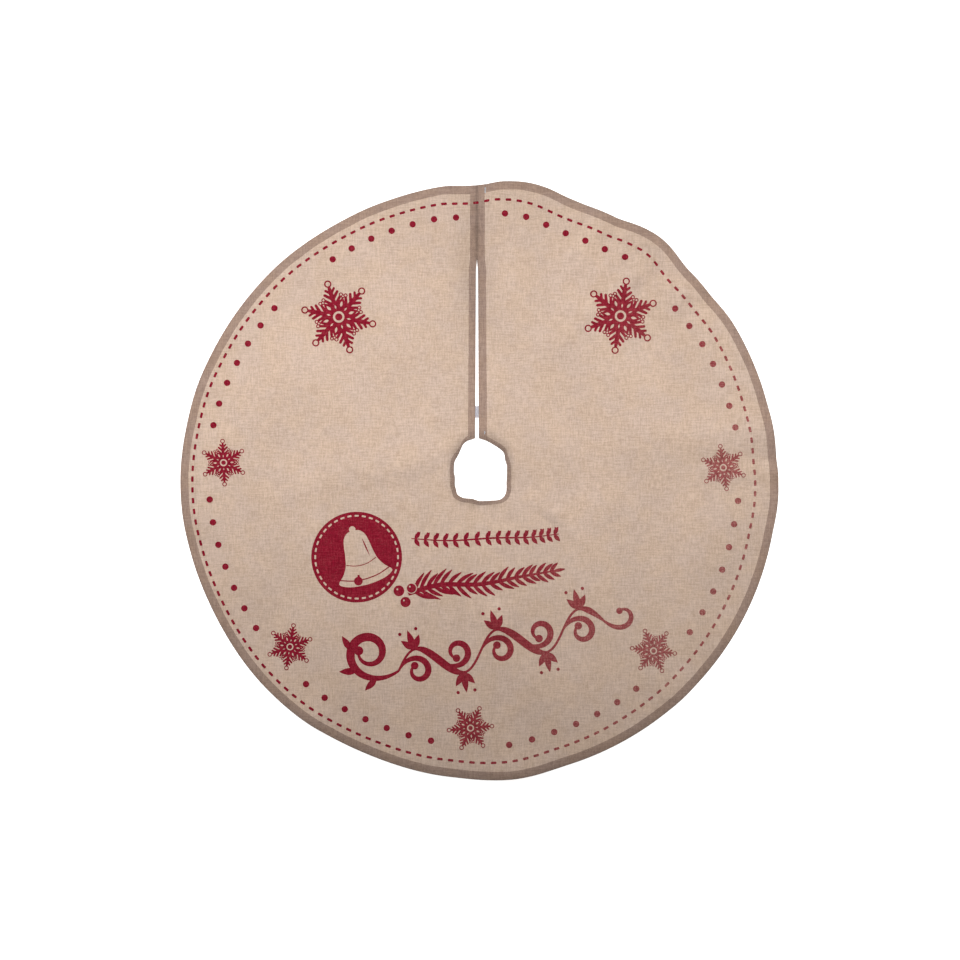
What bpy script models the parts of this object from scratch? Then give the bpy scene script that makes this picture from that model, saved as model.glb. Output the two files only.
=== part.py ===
"""Round tree skirt: one printed cloth with turned hems, a slit and two hook-and-loop closures.

The cloth lies flat with +Z up and its slit towards +Y. The origin is on the floor, at the middle
of the skirt. One height function says how far the cloth lies above the floor, and every layer
that is sewn to it takes its height from that function.
"""
import math

import bmesh
import bpy
from mathutils import Vector

# Skirt outline
RIM_RADIUS = 0.451
# Bulges and flats of the free edge: direction, height and half width in degrees
RIM_BULGES = (
    (357.0, 0.0024, 8.0),
    (42.0, -0.0030, 11.0),
    (53.5, 0.0078, 9.0),
    (67.5, -0.0040, 10.0),
    (81.0, 0.0064, 9.0),
    (91.5, -0.0040, 6.0),
    (118.0, -0.0060, 32.0),
    (147.0, -0.0030, 18.0),
    (181.0, 0.0021, 14.0),
    (207.0, -0.0018, 16.0),
    (247.0, -0.0032, 18.0),
    (276.0, 0.0041, 12.0),
)

# Centre opening: a rounded square that narrows towards the slit, with its own bulges and flats
OPENING_CENTRE = (0.0015, 0.0167)
OPENING_HALF_WIDTH = 0.040
OPENING_HALF_LENGTH = 0.0475
OPENING_FRONT_SQUARENESS = 3.2
OPENING_BACK_SQUARENESS = 2.3
OPENING_BULGES = (
    (22.0, -0.0015, 14.0),
    (64.0, -0.0050, 34.0),
    (143.0, -0.0034, 24.0),
    (199.0, -0.0013, 14.0),
    (227.0, 0.0016, 9.0),
    (252.0, -0.0030, 18.0),
    (311.0, 0.0042, 24.0),
)

# Slit from the opening to the rim
SLIT_X = -0.0038
SLIT_GAP_AT_RIM = 0.0008
SLIT_GAP_MIDDLE = 0.0040
SLIT_GAP_AT_OPENING = 0.0070
SLIT_MEETING_LENGTH = 0.105
SLIT_SPREADING_LENGTH = 0.025

# Cloth layers
CLOTH_THICKNESS = 0.0010
HEM_THICKNESS = 0.0012
OUTER_HEM_WIDTH = 0.0130
OPENING_HEM_WIDTH = 0.0070
LEFT_SLIT_HEM_WIDTH = 0.0100
RIGHT_SLIT_HEM_WIDTH = 0.0115
GAP = 0.0003
HEM_RUN_OUT = 0.030

# Hook-and-loop closures
TAPE_WIDTH = 0.0180
HOOK_TAPE_THICKNESS = 0.0010
LOOP_TAPE_THICKNESS = 0.0008
TAB_SEWN_LENGTH = 0.0110
TAB_SEWN_MARGIN = 0.0010
TAB_REACH_PAST_SLIT = 0.0190
LOOP_PAD_LENGTH = 0.0185
INNER_CLOSURE_FROM_OPENING = 0.0400
OUTER_CLOSURE_FROM_RIM = 0.0240
CLOSURE_ZONE_WIDTH = 0.0220

# Fold line of the flap that opens
FOLD_LINE_Y = -0.0080
FOLD_AXIS_HEIGHT = 0.0040

# Soft folds of the lying cloth: start, end, half width, height at the start and at the end
FOLDS = (
    ((-0.062, 0.042), (-0.330, -0.028), 0.034, 0.0035, 0.0020),
    ((0.010, -0.075), (0.030, -0.210), 0.040, 0.0020, 0.0040),
    ((0.030, -0.210), (0.062, -0.440), 0.050, 0.0040, 0.0040),
    ((0.078, -0.028), (0.115, -0.052), 0.016, 0.0015, 0.0022),
    ((0.115, -0.052), (0.160, -0.100), 0.020, 0.0022, 0.0010),
    ((0.130, 0.046), (0.450, 0.078), 0.046, 0.0020, 0.0070),
    ((0.320, 0.006), (0.452, 0.013), 0.020, 0.0004, 0.0024),
    ((0.098, 0.197), (0.246, 0.331), 0.036, 0.0025, 0.0090),
    ((0.092, 0.262), (0.178, 0.392), 0.036, 0.0020, 0.0080),
    ((0.196, 0.214), (0.322, 0.300), 0.040, 0.0015, 0.0085),
    ((0.372, 0.236), (0.420, 0.150), 0.050, 0.0060, 0.0020),
    ((-0.398, 0.140), (-0.425, -0.060), 0.044, 0.0030, 0.0040),
    ((-0.205, -0.290), (-0.262, -0.372), 0.040, 0.0015, 0.0030),
    ((0.215, -0.235), (0.305, -0.330), 0.040, 0.0012, 0.0030),
    ((-0.120, 0.240), (-0.165, 0.400), 0.040, 0.0010, 0.0030),
)

# Facet sizes of the cloth
ROW_LENGTH = 0.032
ROOT_SPOKE_ANGLE = 5.0
FLAP_SPOKE_ANGLE = 4.0

CLOTH_COLOUR = (0.62, 0.50, 0.42, 1.0)
HEM_COLOUR = (0.40, 0.31, 0.26, 1.0)
TAPE_COLOUR = (0.85, 0.85, 0.88, 1.0)

HEM_LIFT = HEM_THICKNESS + GAP
CLOSURE_LIFT = HOOK_TAPE_THICKNESS + LOOP_TAPE_THICKNESS + 2.0 * GAP
LEFT, RIGHT = -1.0, 1.0


# ---------------------------------------------------------------- plain curves

def mix(a, b, share):
    return a + (b - a) * share


def ease(value):
    """0 below 0, 1 above 1, and a smooth step between."""
    value = min(1.0, max(0.0, value))
    return value * value * (3.0 - 2.0 * value)


def hump(distance, half_width):
    """1 at the middle, and exactly 0 from half_width outwards."""
    share = distance / half_width
    return (1.0 - share * share) ** 2 if abs(share) < 1.0 else 0.0


def plateau(distance, flat, run_out):
    """1 up to flat, then a smooth fall to 0 over run_out."""
    return 1.0 - ease((distance - flat) / run_out)


def solve(function, low, high):
    """The value between low and high where a rising function crosses 0."""
    for _ in range(50):
        middle = 0.5 * (low + high)
        if function(middle) > 0.0:
            high = middle
        else:
            low = middle
    return 0.5 * (low + high)


# ---------------------------------------------------------------- outlines

def bulge(angle, bulges):
    """What the outline's bulges and flats add to its radius in a direction."""
    total = 0.0
    for direction, height, half_width in bulges:
        away = (math.degrees(angle) - direction + 180.0) % 360.0 - 180.0
        total += height * hump(away, half_width)
    return total


def rim_radius(angle):
    return RIM_RADIUS + bulge(angle, RIM_BULGES)


def rim_point(angle):
    radius = rim_radius(angle)
    return Vector((radius * math.cos(angle), radius * math.sin(angle)))


def opening_radius(angle):
    c, s = math.cos(angle), math.sin(angle)
    power = OPENING_BACK_SQUARENESS if s > 0.0 else OPENING_FRONT_SQUARENESS
    total = (abs(c) / OPENING_HALF_WIDTH) ** power + (abs(s) / OPENING_HALF_LENGTH) ** power
    return total ** (-1.0 / power) + bulge(angle, OPENING_BULGES)


def opening_point(angle):
    radius = opening_radius(angle)
    return Vector(OPENING_CENTRE) + Vector((radius * math.cos(angle), radius * math.sin(angle)))


def rim_y_above(x):
    """Height in plan of the rim's rear stretch at x."""
    return rim_point(solve(lambda a: x - rim_point(a).x, 0.0, math.pi)).y


def opening_y_above(x):
    return opening_point(solve(lambda a: x - opening_point(a).x, 0.0, math.pi)).y


def slit_half_gap(y):
    """Half the slit's width: closed towards the rim, then spreading towards the opening."""
    parting = rim_y_above(SLIT_X) - SLIT_MEETING_LENGTH
    opening = opening_y_above(SLIT_X)
    spread = mix(SLIT_GAP_AT_OPENING, SLIT_GAP_MIDDLE,
                 min(1.0, max(0.0, (y - opening) / (parting - opening))))
    closing = ease((y - parting + SLIT_SPREADING_LENGTH) / SLIT_SPREADING_LENGTH)
    return 0.5 * mix(spread, SLIT_GAP_AT_RIM, closing)


def inner_closure_y():
    return opening_y_above(SLIT_X) + INNER_CLOSURE_FROM_OPENING


def outer_closure_y():
    return rim_y_above(SLIT_X) - OUTER_CLOSURE_FROM_RIM


# ---------------------------------------------------------------- height of the cloth

def fold_height(x, y):
    total = 0.0
    point = Vector((x, y))
    for start, end, half_width, first, last in FOLDS:
        start, end = Vector(start), Vector(end)
        along = end - start
        share = min(1.0, max(0.0, (point - start).dot(along) / along.length_squared))
        distance = (point - start - along * share).length
        total += mix(first, last, ease(share)) * hump(distance, half_width)
    return total


def hem_share(x, y):
    """1 over every hem, 0 in the middle of the cloth."""
    point = Vector((x, y))
    from_rim = rim_radius(math.atan2(y, x)) - point.length
    out = point - Vector(OPENING_CENTRE)
    from_opening = out.length - opening_radius(math.atan2(out.y, out.x))
    flat = 1.0 - plateau(from_rim, OUTER_HEM_WIDTH, HEM_RUN_OUT)
    flat *= 1.0 - plateau(from_opening, OPENING_HEM_WIDTH, HEM_RUN_OUT)
    if y > OPENING_CENTRE[1]:
        from_slit = abs(x - SLIT_X) - slit_half_gap(y)
        slit_hem_width = LEFT_SLIT_HEM_WIDTH if x < SLIT_X else RIGHT_SLIT_HEM_WIDTH
        flat *= 1.0 - plateau(from_slit, slit_hem_width, HEM_RUN_OUT)
    return 1.0 - flat


def closure_share(x, y):
    """1 where the closures lie under the cloth, with room for a facet at each end."""
    if y < OPENING_CENTRE[1]:
        return 0.0
    across = plateau(abs(x - SLIT_X), SLIT_GAP_AT_OPENING + CLOSURE_ZONE_WIDTH, HEM_RUN_OUT)
    half_length = 0.5 * TAPE_WIDTH + ROW_LENGTH
    inner = plateau(abs(y - inner_closure_y()), half_length, HEM_RUN_OUT)
    outer = plateau(abs(y - outer_closure_y()), half_length, HEM_RUN_OUT)
    return across * max(inner, outer)


def cloth_height(x, y):
    """Height of the cloth's underside above the floor."""
    return fold_height(x, y) + HEM_LIFT * hem_share(x, y) + CLOSURE_LIFT * closure_share(x, y)


# ---------------------------------------------------------------- lattice of the cloth

def slit_spoke(side, offset):
    """A line that keeps its offset from the slit's edge, from the opening to the rim."""
    def at(y):
        return SLIT_X + side * (slit_half_gap(y) + offset)

    low = opening_y_above(at(opening_y_above(SLIT_X)))
    high = rim_y_above(at(rim_y_above(SLIT_X)))
    return (lambda distance: Vector((at(low + distance), low + distance))), high - low


def straight_spoke(inner, outer):
    along = (outer - inner).normalized()
    return (lambda distance: inner + along * distance), (outer - inner).length


def spoke_points(point, length):
    """The opening's edge, its hem line, evenly spaced rows, the outer hem line and the rim."""
    rows = math.ceil((RIM_RADIUS - OPENING_HALF_LENGTH) / ROW_LENGTH)
    first, last = OPENING_HEM_WIDTH, length - OUTER_HEM_WIDTH
    middle = [mix(first, last, i / rows) for i in range(rows + 1)]
    return [point(distance) for distance in [0.0] + middle + [length]]


def cloth_lattice(side, slit_hem_width, fold_y, turn, step):
    """Spokes of points from the slit's edge round to the fold line, which lies near angle turn."""
    offsets = (0.0, slit_hem_width, CLOSURE_ZONE_WIDTH)
    spokes = [spoke_points(*slit_spoke(side, offset)) for offset in offsets]
    from_centre = spokes[-1][0] - Vector(OPENING_CENTRE)
    inner_start = math.atan2(from_centre.y, from_centre.x)
    outer_start = math.atan2(spokes[-1][-1].y, spokes[-1][-1].x)
    near = (turn - 1.0, turn + 1.0)
    inner_end = solve(lambda a: opening_point(a).y - fold_y, *near)
    outer_end = solve(lambda a: rim_point(a).y - fold_y, *near)
    count = math.ceil(abs(outer_end - outer_start) / math.radians(step))
    for i in range(1, count + 1):
        inner = opening_point(mix(inner_start, inner_end, i / count))
        outer = rim_point(mix(outer_start, outer_end, i / count))
        spokes.append(spoke_points(*straight_spoke(inner, outer)))
    return spokes


def slit_strip(lattice):
    """The lattice between the slit's edge and its hem line, clear of the neighbouring hems."""
    edge, line = lattice[0], lattice[1]
    return [edge, [p + (q - p).normalized() * GAP for p, q in zip(line, edge)]]


def ring_strip(lattice, rows):
    """Two rows of the lattice from the slit's hem line round to the fold line."""
    return [[spoke[row] for row in rows] for spoke in lattice[1:]]


# ---------------------------------------------------------------- objects

def material(name, colour, roughness):
    made = bpy.data.materials.new(name)
    made.use_nodes = True
    shader = made.node_tree.nodes["Principled BSDF"]
    shader.inputs["Base Color"].default_value = colour
    shader.inputs["Roughness"].default_value = roughness
    return made


def add_object(name, data, collection, pivot, colour, roughness=0.9):
    made = bpy.data.objects.new(name, data)
    made.data.materials.append(material(name, colour, roughness))
    made.parent = pivot
    collection.objects.link(made)
    return made


def add_pivot(name, place, collection, parent=None):
    pivot = bpy.data.objects.new(name, None)
    pivot.empty_display_size = 0.02
    pivot.location = place
    pivot.parent = parent
    collection.objects.link(pivot)
    return pivot


def layer_mesh(name, spokes, above_cloth, origin):
    """An open sheet through the lattice points, above_cloth higher than the cloth's underside."""
    sheet = bmesh.new()
    rows = []
    for spoke in spokes:
        places = [Vector((p.x, p.y, cloth_height(p.x, p.y) + above_cloth)) for p in spoke]
        rows.append([sheet.verts.new(place - origin) for place in places])
    for here, beyond in zip(rows, rows[1:]):
        for j in range(len(here) - 1):
            sheet.faces.new((here[j], here[j + 1], beyond[j + 1]))
            sheet.faces.new((here[j], beyond[j + 1], beyond[j]))
    sheet.normal_update()
    if sum(face.normal.z for face in sheet.faces) < 0.0:
        bmesh.ops.reverse_faces(sheet, faces=sheet.faces)
    mesh = bpy.data.meshes.new(name)
    sheet.to_mesh(mesh)
    sheet.free()
    return mesh


def add_layer(name, spokes, above_cloth, thickness, up, collection, pivot, colour):
    """A cloth layer: its sheet is the face that its neighbour lies against, and it grows away from it."""
    mesh = layer_mesh(name, spokes, above_cloth, pivot.location)
    made = add_object(name, mesh, collection, pivot, colour)
    thick = made.modifiers.new("thickness", "SOLIDIFY")
    thick.thickness = thickness
    thick.offset = 1.0 if up else -1.0
    return made


def add_cloth(prefix, panel_name, slit_name, lattice, collection, pivot):
    """The panel and the three hems turned under it, for one side of the fold line."""
    add_layer(panel_name, lattice, 0.0, CLOTH_THICKNESS, True, collection, pivot, CLOTH_COLOUR)
    hems = {
        slit_name: slit_strip(lattice),
        prefix + "outer_hem": ring_strip(lattice, (-2, -1)),
        prefix + "opening_hem": ring_strip(lattice, (0, 1)),
    }
    for name, spokes in hems.items():
        add_layer(name, spokes, -GAP, HEM_THICKNESS, False, collection, pivot, HEM_COLOUR)


def add_hook_tab(name, y, collection, pivot):
    """Hook tape that is double where it is sewn under the left hem, and reaches under the right one."""
    free = TAB_SEWN_LENGTH + TAB_SEWN_MARGIN + 2.0 * slit_half_gap(y) + TAB_REACH_PAST_SLIT
    sewn_top = HOOK_TAPE_THICKNESS + LOOP_TAPE_THICKNESS + GAP
    profile = (
        (0.0, 0.0),
        (free, 0.0),
        (free, HOOK_TAPE_THICKNESS),
        (TAB_SEWN_LENGTH, HOOK_TAPE_THICKNESS),
        (TAB_SEWN_LENGTH, sewn_top),
        (0.0, sewn_top),
    )
    outline = bpy.data.curves.new(name, "CURVE")
    outline.dimensions = "2D"
    outline.fill_mode = "BOTH"
    outline.extrude = 0.5 * TAPE_WIDTH
    spline = outline.splines.new("POLY")
    spline.points.add(len(profile) - 1)
    for corner, (x, z) in zip(spline.points, profile):
        corner.co = (x, z, 0.0, 1.0)
    spline.use_cyclic_u = True
    tab = add_object(name, outline, collection, pivot, TAPE_COLOUR)
    tab.rotation_euler = (math.pi / 2.0, 0.0, 0.0)
    tab.location = Vector((0.0, 0.0, -pivot.location.z))
    return tab


def add_loop_pad(name, y, collection, pivot):
    """Loop tape under the flap's slit hem, facing the hook tab."""
    x = SLIT_X + slit_half_gap(y) + TAB_SEWN_MARGIN + 0.5 * LOOP_PAD_LENGTH
    z = HOOK_TAPE_THICKNESS + GAP + 0.5 * LOOP_TAPE_THICKNESS
    block = bmesh.new()
    bmesh.ops.create_cube(block, size=1.0)
    bmesh.ops.scale(block, vec=(LOOP_PAD_LENGTH, TAPE_WIDTH, LOOP_TAPE_THICKNESS), verts=block.verts)
    mesh = bpy.data.meshes.new(name)
    block.to_mesh(mesh)
    block.free()
    pad = add_object(name, mesh, collection, pivot, TAPE_COLOUR)
    pad.location = Vector((x, y, z)) - pivot.location
    return pad


def tab_hinge(y):
    """The sewn end of the hook tab, where it bends away from the left hem."""
    x = SLIT_X - slit_half_gap(y) - TAB_SEWN_MARGIN - TAB_SEWN_LENGTH
    return Vector((x, y, HOOK_TAPE_THICKNESS + LOOP_TAPE_THICKNESS + 2.0 * GAP))


def clear_scene():
    for thing in list(bpy.data.objects):
        bpy.data.objects.remove(thing, do_unlink=True)


def main():
    clear_scene()
    skirt = bpy.data.collections.new("tree_skirt")
    bpy.context.scene.collection.children.link(skirt)
    base = add_pivot("skirt_base", (0.0, 0.0, 0.0), skirt)
    fold_x = opening_point(solve(lambda a: opening_point(a).y - FOLD_LINE_Y, -1.0, 1.0)).x
    flap = add_pivot("flap_fold", (fold_x, FOLD_LINE_Y, FOLD_AXIS_HEIGHT), skirt, base)

    left = cloth_lattice(LEFT, LEFT_SLIT_HEM_WIDTH, FOLD_LINE_Y - 0.5 * GAP, 2.0 * math.pi,
                         ROOT_SPOKE_ANGLE)
    right = cloth_lattice(RIGHT, RIGHT_SLIT_HEM_WIDTH, FOLD_LINE_Y + 0.5 * GAP, 0.0,
                          FLAP_SPOKE_ANGLE)
    add_cloth("", "skirt_panel", "left_slit_hem", left, skirt, base)
    add_cloth("flap_", "flap_panel", "right_slit_hem", right, skirt, flap)

    for end, y in (("inner", inner_closure_y()), ("outer", outer_closure_y())):
        hinge = add_pivot(end + "_tab_seam", tab_hinge(y), skirt, base)
        add_hook_tab(end + "_hook_tab", y, skirt, hinge)
        add_loop_pad(end + "_loop_pad", y, skirt, flap)


main()
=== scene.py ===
"""Looks of the round tree skirt: its folded cloth, hems, print, stitches and closures."""
from math import atan2, ceil, copysign, cos, pi, radians, sin

import bpy
import numpy as np
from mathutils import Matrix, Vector, noise
from mathutils.bvhtree import BVHTree
from mathutils.geometry import delaunay_2d_cdt


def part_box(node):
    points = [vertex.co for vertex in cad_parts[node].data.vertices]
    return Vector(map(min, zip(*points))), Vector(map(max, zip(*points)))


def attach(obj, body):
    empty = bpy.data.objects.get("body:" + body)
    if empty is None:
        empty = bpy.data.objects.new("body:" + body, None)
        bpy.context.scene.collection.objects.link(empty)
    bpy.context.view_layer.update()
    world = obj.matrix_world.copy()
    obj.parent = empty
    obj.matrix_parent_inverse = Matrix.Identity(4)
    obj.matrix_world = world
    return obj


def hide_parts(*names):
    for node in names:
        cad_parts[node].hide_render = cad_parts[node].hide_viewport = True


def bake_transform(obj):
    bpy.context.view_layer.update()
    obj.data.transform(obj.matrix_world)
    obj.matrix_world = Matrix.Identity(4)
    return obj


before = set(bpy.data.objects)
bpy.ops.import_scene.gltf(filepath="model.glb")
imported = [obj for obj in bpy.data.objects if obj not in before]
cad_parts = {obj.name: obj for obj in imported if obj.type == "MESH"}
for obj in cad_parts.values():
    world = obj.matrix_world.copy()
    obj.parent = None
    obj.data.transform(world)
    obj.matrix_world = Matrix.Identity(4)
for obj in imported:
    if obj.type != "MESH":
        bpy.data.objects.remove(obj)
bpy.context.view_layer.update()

# ---- sizes repeated from the CAD model, in metres ----
RIM_RADIUS = 0.451
RIM_BULGES = (                          # direction, height, half width; degrees and metres
    (357.0, 0.0024, 8.0),
    (42.0, -0.0030, 11.0),
    (53.5, 0.0078, 9.0),
    (67.5, -0.0040, 10.0),
    (81.0, 0.0064, 9.0),
    (91.5, -0.0040, 6.0),
    (118.0, -0.0060, 32.0),
    (147.0, -0.0030, 18.0),
    (181.0, 0.0021, 14.0),
    (207.0, -0.0018, 16.0),
    (247.0, -0.0032, 18.0),
    (276.0, 0.0041, 12.0),
)
OPENING_BULGES = (
    (22.0, -0.0015, 14.0),
    (64.0, -0.0050, 34.0),
    (143.0, -0.0034, 24.0),
    (199.0, -0.0013, 14.0),
    (227.0, 0.0016, 9.0),
    (252.0, -0.0030, 18.0),
    (311.0, 0.0042, 24.0),
)
OPENING_CENTRE = np.array((0.0015, 0.0167))
OPENING_HALF_WIDTH = 0.040
OPENING_HALF_LENGTH = 0.0475
OPENING_FRONT_SQUARENESS = 3.2
OPENING_BACK_SQUARENESS = 2.3
SLIT_X = -0.0038
SLIT_GAP_AT_RIM = 0.0008
SLIT_GAP_MIDDLE = 0.0040
SLIT_GAP_AT_OPENING = 0.0070
SLIT_MEETING_LENGTH = 0.105
SLIT_SPREADING_LENGTH = 0.025
CLOTH_THICKNESS = 0.0010
HEM_THICKNESS = 0.0012
OUTER_HEM_WIDTH = 0.0130
OPENING_HEM_WIDTH = 0.0070
LEFT_SLIT_HEM_WIDTH = 0.0100
RIGHT_SLIT_HEM_WIDTH = 0.0115
GAP = 0.0003
HEM_RUN_OUT = 0.030
TAPE_WIDTH = 0.0180
HOOK_TAPE_THICKNESS = 0.0010
LOOP_TAPE_THICKNESS = 0.0008
INNER_CLOSURE_FROM_OPENING = 0.0400
OUTER_CLOSURE_FROM_RIM = 0.0240
CLOSURE_ZONE_WIDTH = 0.0220
CLOSURE_ROOM = 0.032
FOLD_LINE_Y = -0.0080
# Folds: start, end, half width, height at the start and at the end. They follow the photo's
# shading, except the low ripple at the right rim. The photo doesn't show that one: it repeats a
# row that part.py holds because of how the packer treats the openings.
FOLDS = (
    ((-0.062, 0.042), (-0.330, -0.028), 0.034, 0.0035, 0.0020),
    ((0.010, -0.075), (0.030, -0.210), 0.040, 0.0020, 0.0040),
    ((0.030, -0.210), (0.062, -0.440), 0.050, 0.0040, 0.0040),
    ((0.078, -0.028), (0.115, -0.052), 0.016, 0.0015, 0.0022),
    ((0.115, -0.052), (0.160, -0.100), 0.020, 0.0022, 0.0010),
    ((0.130, 0.046), (0.450, 0.078), 0.046, 0.0020, 0.0070),
    ((0.320, 0.006), (0.452, 0.013), 0.020, 0.0004, 0.0024),    # the ripple not in the photo
    ((0.098, 0.197), (0.246, 0.331), 0.036, 0.0025, 0.0090),
    ((0.092, 0.262), (0.178, 0.392), 0.036, 0.0020, 0.0080),
    ((0.196, 0.214), (0.322, 0.300), 0.040, 0.0015, 0.0085),
    ((0.372, 0.236), (0.420, 0.150), 0.050, 0.0060, 0.0020),
    ((-0.398, 0.140), (-0.425, -0.060), 0.044, 0.0030, 0.0040),
    ((-0.205, -0.290), (-0.262, -0.372), 0.040, 0.0015, 0.0030),
    ((0.215, -0.235), (0.305, -0.330), 0.040, 0.0012, 0.0030),
    ((-0.120, 0.240), (-0.165, 0.400), 0.040, 0.0010, 0.0030),
)
LEFT, RIGHT = -1.0, 1.0
HEM_LIFT = HEM_THICKNESS + GAP
CLOSURE_LIFT = HOOK_TAPE_THICKNESS + LOOP_TAPE_THICKNESS + 2.0 * GAP

# ---- fine detail of the cloth ----
ROWS = 76
LEFT_STEP, RIGHT_STEP = 0.75, 0.5       # degrees between spokes at the rim
TUCK = 0.0015                           # how far the panel's edge runs into a hem
WRINKLE_HEIGHT = 0.0015
FOLD_RELIEF = 1.3                       # folds stand a little higher than in the plain solids
INK_LIFT = 0.00015                      # ink film over the cloth's top
RAY_START = 0.08                        # height above all the cloth, to look down from
PRESS = 0.0007                          # how far each slit edge swells towards the other

# ---- view and light ----
CAMERA_HEIGHT = 3.2
VIEW_WIDTH = 1.4544
SENSOR_WIDTH = 36.0
FLOOR_GLOW = 0.86                       # keeps the floor white, as in the photo
SKY_LIGHT = 0.11
LAMP_SIZE = 0.45


# ======== curves and outlines

def ease(value):
    value = np.clip(value, 0.0, 1.0)
    return value * value * (3.0 - 2.0 * value)


def hump(distance, half_width):
    share = np.clip(np.abs(distance / half_width), 0.0, 1.0)
    return (1.0 - share * share) ** 2


def plateau(distance, flat, run_out):
    return 1.0 - ease((distance - flat) / run_out)


def solve(function, low, high):
    """The value between low and high where a rising function crosses 0."""
    for _ in range(50):
        middle = 0.5 * (low + high)
        if function(middle) > 0.0:
            high = middle
        else:
            low = middle
    return 0.5 * (low + high)


def running(steps):
    """The distance covered before each step, and after the last."""
    return np.concatenate([[0.0], np.cumsum(steps)])


def polar(radius, angle):
    return np.stack([radius * np.cos(angle), radius * np.sin(angle)], axis=-1)


def bulge(angle, bulges):
    """What an outline's bulges and flats add to its radius in each direction."""
    total = 0.0
    for direction, height, half_width in bulges:
        away = (np.degrees(angle) - direction + 180.0) % 360.0 - 180.0
        total = total + height * hump(away, half_width)
    return total


def rim_bulge(angle):
    return bulge(angle, RIM_BULGES)


def rim_point(angle):
    return polar(RIM_RADIUS + rim_bulge(angle), angle)


def opening_radius(angle):
    c, s = np.abs(np.cos(angle)), np.abs(np.sin(angle))
    power = np.where(np.sin(angle) > 0.0, OPENING_BACK_SQUARENESS, OPENING_FRONT_SQUARENESS)
    radius = (c / OPENING_HALF_WIDTH) ** power + (s / OPENING_HALF_LENGTH) ** power
    return radius ** (-1.0 / power) + bulge(angle, OPENING_BULGES)


def opening_point(angle):
    return OPENING_CENTRE + polar(opening_radius(angle), angle)


def rim_y_above(x):
    return float(rim_point(solve(lambda a: x - rim_point(a)[0], 0.0, pi))[1])


def opening_y_above(x):
    return float(opening_point(solve(lambda a: x - opening_point(a)[0], 0.0, pi))[1])


SLIT_LOW, SLIT_HIGH = opening_y_above(SLIT_X), rim_y_above(SLIT_X)
INNER_CLOSURE_Y = SLIT_LOW + INNER_CLOSURE_FROM_OPENING
OUTER_CLOSURE_Y = SLIT_HIGH - OUTER_CLOSURE_FROM_RIM


def slit_half_gap(y):
    parting = SLIT_HIGH - SLIT_MEETING_LENGTH
    share = np.clip((y - SLIT_LOW) / (parting - SLIT_LOW), 0.0, 1.0)
    spread = SLIT_GAP_AT_OPENING + (SLIT_GAP_MIDDLE - SLIT_GAP_AT_OPENING) * share
    closing = ease((y - parting + SLIT_SPREADING_LENGTH) / SLIT_SPREADING_LENGTH)
    return 0.5 * (spread + (SLIT_GAP_AT_RIM - spread) * closing)


# ======== height of the cloth

def fold_height(x, y):
    total = np.zeros_like(x)
    for start, end, half_width, first, last in FOLDS:
        start, along = np.array(start), np.array(end) - np.array(start)
        share = ((x - start[0]) * along[0] + (y - start[1]) * along[1]) / (along @ along)
        share = np.clip(share, 0.0, 1.0)
        distance = np.hypot(x - start[0] - along[0] * share, y - start[1] - along[1] * share)
        total += (first + (last - first) * ease(share)) * hump(distance, half_width)
    return FOLD_RELIEF * total


def hem_share(x, y):
    from_rim = RIM_RADIUS + rim_bulge(np.arctan2(y, x)) - np.hypot(x, y)
    out_x, out_y = x - OPENING_CENTRE[0], y - OPENING_CENTRE[1]
    from_opening = np.hypot(out_x, out_y) - opening_radius(np.arctan2(out_y, out_x))
    flat = 1.0 - plateau(from_rim, OUTER_HEM_WIDTH, HEM_RUN_OUT)
    flat *= 1.0 - plateau(from_opening, OPENING_HEM_WIDTH, HEM_RUN_OUT)
    slit_hem = np.where(x < SLIT_X, LEFT_SLIT_HEM_WIDTH, RIGHT_SLIT_HEM_WIDTH)
    from_slit = np.abs(x - SLIT_X) - slit_half_gap(y)
    beside_slit = 1.0 - plateau(from_slit, slit_hem, HEM_RUN_OUT)
    return 1.0 - flat * np.where(y > OPENING_CENTRE[1], beside_slit, 1.0)


def closure_share(x, y):
    across = plateau(np.abs(x - SLIT_X), SLIT_GAP_AT_OPENING + CLOSURE_ZONE_WIDTH, HEM_RUN_OUT)
    half_length = 0.5 * TAPE_WIDTH + CLOSURE_ROOM
    inner = plateau(np.abs(y - INNER_CLOSURE_Y), half_length, HEM_RUN_OUT)
    outer = plateau(np.abs(y - OUTER_CLOSURE_Y), half_length, HEM_RUN_OUT)
    return np.where(y > OPENING_CENTRE[1], across * np.maximum(inner, outer), 0.0)


def wrinkles(x, y):
    """Slight unevenness of the lying cloth, fading out at the line where the flap folds."""
    waves = np.array([
        0.5 * noise.noise(Vector((px * 7.0, py * 7.0, 3.1)))
        + 0.3 * noise.noise(Vector((px * 17.0, py * 17.0, 8.4)))
        + 0.2 * noise.noise(Vector((px * 41.0, py * 41.0, 5.7)))
        for px, py in zip(x.ravel().tolist(), y.ravel().tolist())
    ]).reshape(x.shape)
    return WRINKLE_HEIGHT * (0.5 + waves) * ease(np.abs(y - FOLD_LINE_Y) / 0.03)


def cloth_height(x, y):
    """Height of the cloth's underside above the floor."""
    lift = HEM_LIFT * hem_share(x, y) + CLOSURE_LIFT * closure_share(x, y)
    return fold_height(x, y) + lift + wrinkles(x, y)


# ======== lattice of the cloth

def slit_path(side, offset):
    """A line that keeps its offset from the slit's edge: its points by distance, and its length."""
    def at(y):
        return SLIT_X + side * (slit_half_gap(y) + offset)

    low, high = opening_y_above(at(SLIT_LOW)), rim_y_above(at(SLIT_HIGH))
    return (lambda d: np.stack([at(low + d), low + d], axis=-1)), high - low


def straight_path(inner, outer):
    length = float(np.hypot(*(outer - inner)))
    along = (outer - inner) / length
    return (lambda d: inner + along * np.asarray(d)[..., None]), length


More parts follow.
